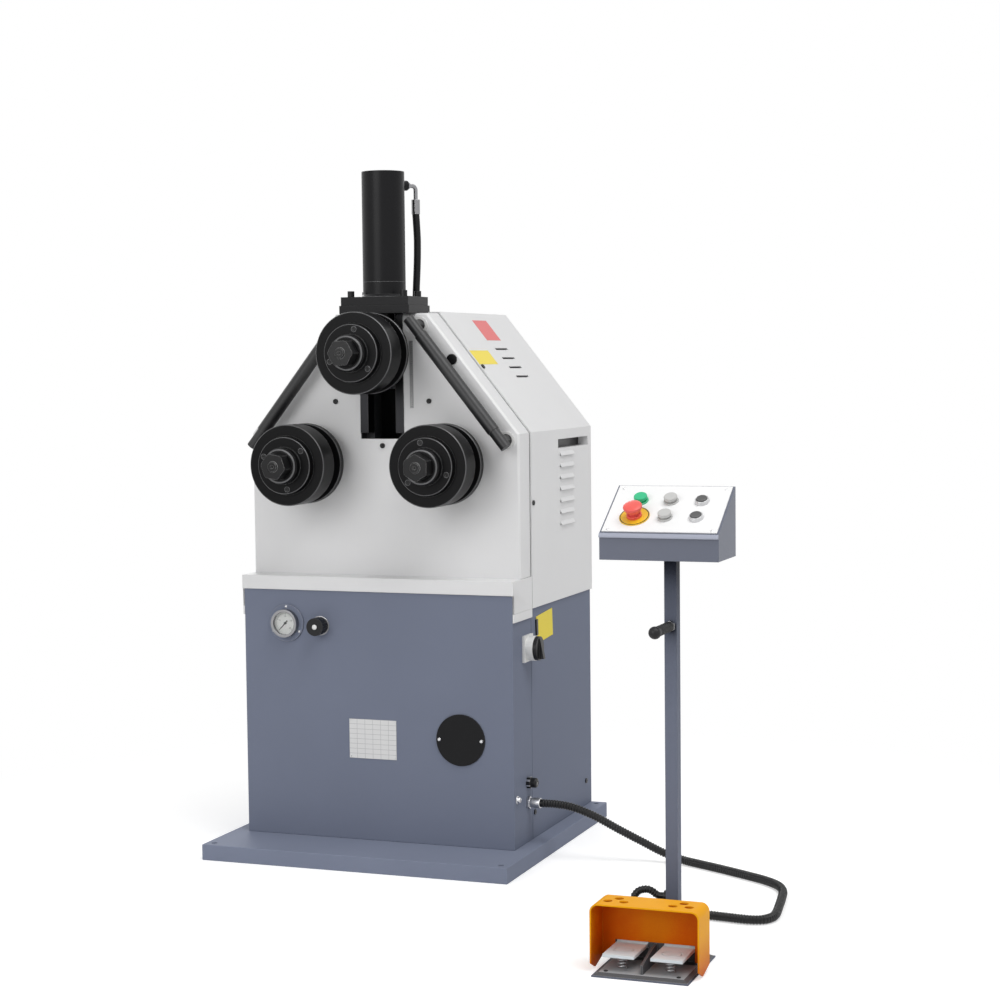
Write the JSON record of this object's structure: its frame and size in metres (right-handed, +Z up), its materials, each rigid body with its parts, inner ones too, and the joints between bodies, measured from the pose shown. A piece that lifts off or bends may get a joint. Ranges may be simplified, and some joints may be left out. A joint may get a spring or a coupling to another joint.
{
  "type": "angle roll bender",
  "caption": "Hydraulic section bender with grooved forming rolls on a floor cabinet, a top roll in a powered slide, and a separate pedestal with button console and guarded foot switch.",
  "frame": {"origin": "centre of the floor pan, on the floor", "axes": "+X to the operator's right as they face the rolls, +Y to the back, +Z up"},
  "size_m": [1.3968, 1.346, 1.6001],
  "materials": {
    "cabinet_grey": "satin grey paint",
    "body_white": "satin off-white paint",
    "frame_paint": "matt dark grey primer",
    "bright_steel": "ground steel",
    "black_paint": "gloss black paint",
    "plated_steel": "bright zinc plating",
    "hose_rubber": "matt black hose cover",
    "screw_steel": "blackened steel",
    "black_plastic": "matt black",
    "clear_glass": "clear",
    "needle_red": "red",
    "white_plastic": "satin white",
    "tank_paint": "hammered blue-grey",
    "valve_aluminium": "machined",
    "roll_steel": "blackened, turned",
    "gear_steel": "hobbed",
    "conduit_plastic": "ribbed dark grey",
    "panel_white": "smooth white",
    "green_plastic": "green",
    "red_plastic": "red",
    "grey_plastic": "grey",
    "gloss_black": "black",
    "cast_aluminium": "cast and tumbled",
    "guard_yellow": "gloss yellow paint"
  },
  "bodies": {
    "machine": {"base_pan": "cabinet_grey", "cabinet_front": "cabinet_grey", "lower_rear_cover": "cabinet_grey", "ledge_plate": "body_white", "front_housing": "body_white", "upper_rear_cover": "body_white", "cabinet_frame": "frame_paint", "front_frame_plate": "frame_paint", "rear_frame_plate": "frame_paint", "shaft_bearings": "bright_steel", "slide_gibs": "bright_steel", "cylinder_bed": "black_paint", "cylinder_barrel": "black_paint", "hose_fitting": "plated_steel", "hydraulic_hose": "hose_rubber", "left_side_rod": "black_paint", "right_side_rod": "black_paint", "socket_screws": "screw_steel", "gauge_case": "black_plastic", "gauge_lens": "clear_glass", "regulator_valve": "plated_steel", "blanking_covers": "black_plastic", "switch_base": "white_plastic", "cable_glands": "plated_steel", "oil_tank": "tank_paint", "pump_motor": "tank_paint", "valve_block": "valve_aluminium", "gear_motor": "tank_paint", "electric_panel": "white_plastic", "machine_conduit": "conduit_plastic", "pedestal_post": "cabinet_grey", "grip_handle": "black_plastic", "console_box": "cabinet_grey", "console_panel": "panel_white", "pedal_base": "cast_aluminium", "pedal_guard": "guard_yellow", "left_pedal_spring": "plated_steel", "right_pedal_spring": "plated_steel", "pedal_conduit": "conduit_plastic"},
    "slide": {"slide_block": "bright_steel"},
    "top_roller": {"top_shaft": "bright_steel", "top_roll": "roll_steel"},
    "left_roller": {"left_shaft": "bright_steel", "left_roll": "roll_steel", "left_gear": "gear_steel"},
    "right_roller": {"right_shaft": "bright_steel", "right_roll": "roll_steel", "right_gear": "gear_steel"},
    "pinion": {"drive_pinion": "gear_steel"},
    "needle": {"gauge_needle": "needle_red"},
    "regulator": {"regulator_knob": "black_plastic"},
    "main_switch": {"switch_knob": "black_plastic"},
    "start": {"start_button": "green_plastic"},
    "stop": {"stop_button": "red_plastic"},
    "upper_grey": {"upper_grey_button": "grey_plastic"},
    "lower_grey": {"lower_grey_button": "grey_plastic"},
    "upper_black": {"upper_black_button": "gloss_black"},
    "lower_black": {"lower_black_button": "gloss_black"},
    "left_foot": {"left_pedal": "cast_aluminium"},
    "right_foot": {"right_pedal": "cast_aluminium"}
  },
  "joints": [
    {"name": "top_slide", "type": "slide", "parent": "machine", "child": "slide", "axis": [0, 0, -1], "range_m": [0, 0.12]},
    {"name": "top_roll_turn", "type": "hinge", "parent": "slide", "child": "top_roller", "pos_m": [0, -0.25, 1.178], "axis": [0, 1, 0], "continuous": true},
    {"name": "left_roll_turn", "type": "hinge", "parent": "machine", "child": "left_roller", "pos_m": [-0.175, -0.25, 0.922], "axis": [0, 1, 0], "continuous": true},
    {"name": "right_roll_turn", "type": "hinge", "parent": "machine", "child": "right_roller", "pos_m": [0.175, -0.25, 0.922], "axis": [0, 1, 0], "continuous": true},
    {"name": "pinion_turn", "type": "hinge", "parent": "machine", "child": "pinion", "pos_m": [0, 0.09, 0.922], "axis": [0, 1, 0], "continuous": true},
    {"name": "needle_turn", "type": "hinge", "parent": "machine", "child": "needle", "pos_m": [-0.229, -0.212, 0.544], "axis": [0, 1, 0], "range_deg": [0, 270], "stiffness_Nm_per_rad": 0.01},
    {"name": "regulator_turn", "type": "hinge", "parent": "machine", "child": "regulator", "pos_m": [-0.142, -0.215, 0.54], "axis": [0, 1, 0], "range_deg": [0, 720]},
    {"name": "switch_turn", "type": "hinge", "parent": "machine", "child": "main_switch", "pos_m": [0.37, -0.114, 0.493], "axis": [1, 0, 0], "range_deg": [0, 90]},
    {"name": "stop_press", "type": "slide", "parent": "machine", "child": "stop", "axis": [0, 0.5357, -0.8444], "range_m": [0, 0.005]},
    {"name": "start_press", "type": "slide", "parent": "machine", "child": "start", "axis": [0, 0.5357, -0.8444], "range_m": [0, 0.004], "stiffness_N_per_m": 800},
    {"name": "upper_grey_press", "type": "slide", "parent": "machine", "child": "upper_grey", "axis": [0, 0.5357, -0.8444], "range_m": [0, 0.004], "stiffness_N_per_m": 800},
    {"name": "lower_grey_press", "type": "slide", "parent": "machine", "child": "lower_grey", "axis": [0, 0.5357, -0.8444], "range_m": [0, 0.004], "stiffness_N_per_m": 800},
    {"name": "upper_black_press", "type": "slide", "parent": "machine", "child": "upper_black", "axis": [0, 0.5357, -0.8444], "range_m": [0, 0.004], "stiffness_N_per_m": 800},
    {"name": "lower_black_press", "type": "slide", "parent": "machine", "child": "lower_black", "axis": [0, 0.5357, -0.8444], "range_m": [0, 0.004], "stiffness_N_per_m": 800},
    {"name": "left_pedal_press", "type": "hinge", "parent": "machine", "child": "left_foot", "pos_m": [0.818, -0.856, 0.037], "axis": [1, 0, 0], "range_deg": [0, 5], "stiffness_Nm_per_rad": 20, "springref_deg": -2.86, "deforming": ["left_pedal_spring"]},
    {"name": "right_pedal_press", "type": "hinge", "parent": "machine", "child": "right_foot", "pos_m": [0.912, -0.856, 0.037], "axis": [1, 0, 0], "range_deg": [0, 5], "stiffness_Nm_per_rad": 20, "springref_deg": -2.86, "deforming": ["right_pedal_spring"]}
  ],
  "couplings": [
    {"joint": "right_roll_turn", "follows": "left_roll_turn", "ratio": 1},
    {"joint": "pinion_turn", "follows": "left_roll_turn", "ratio": -2.1818}
  ]
}
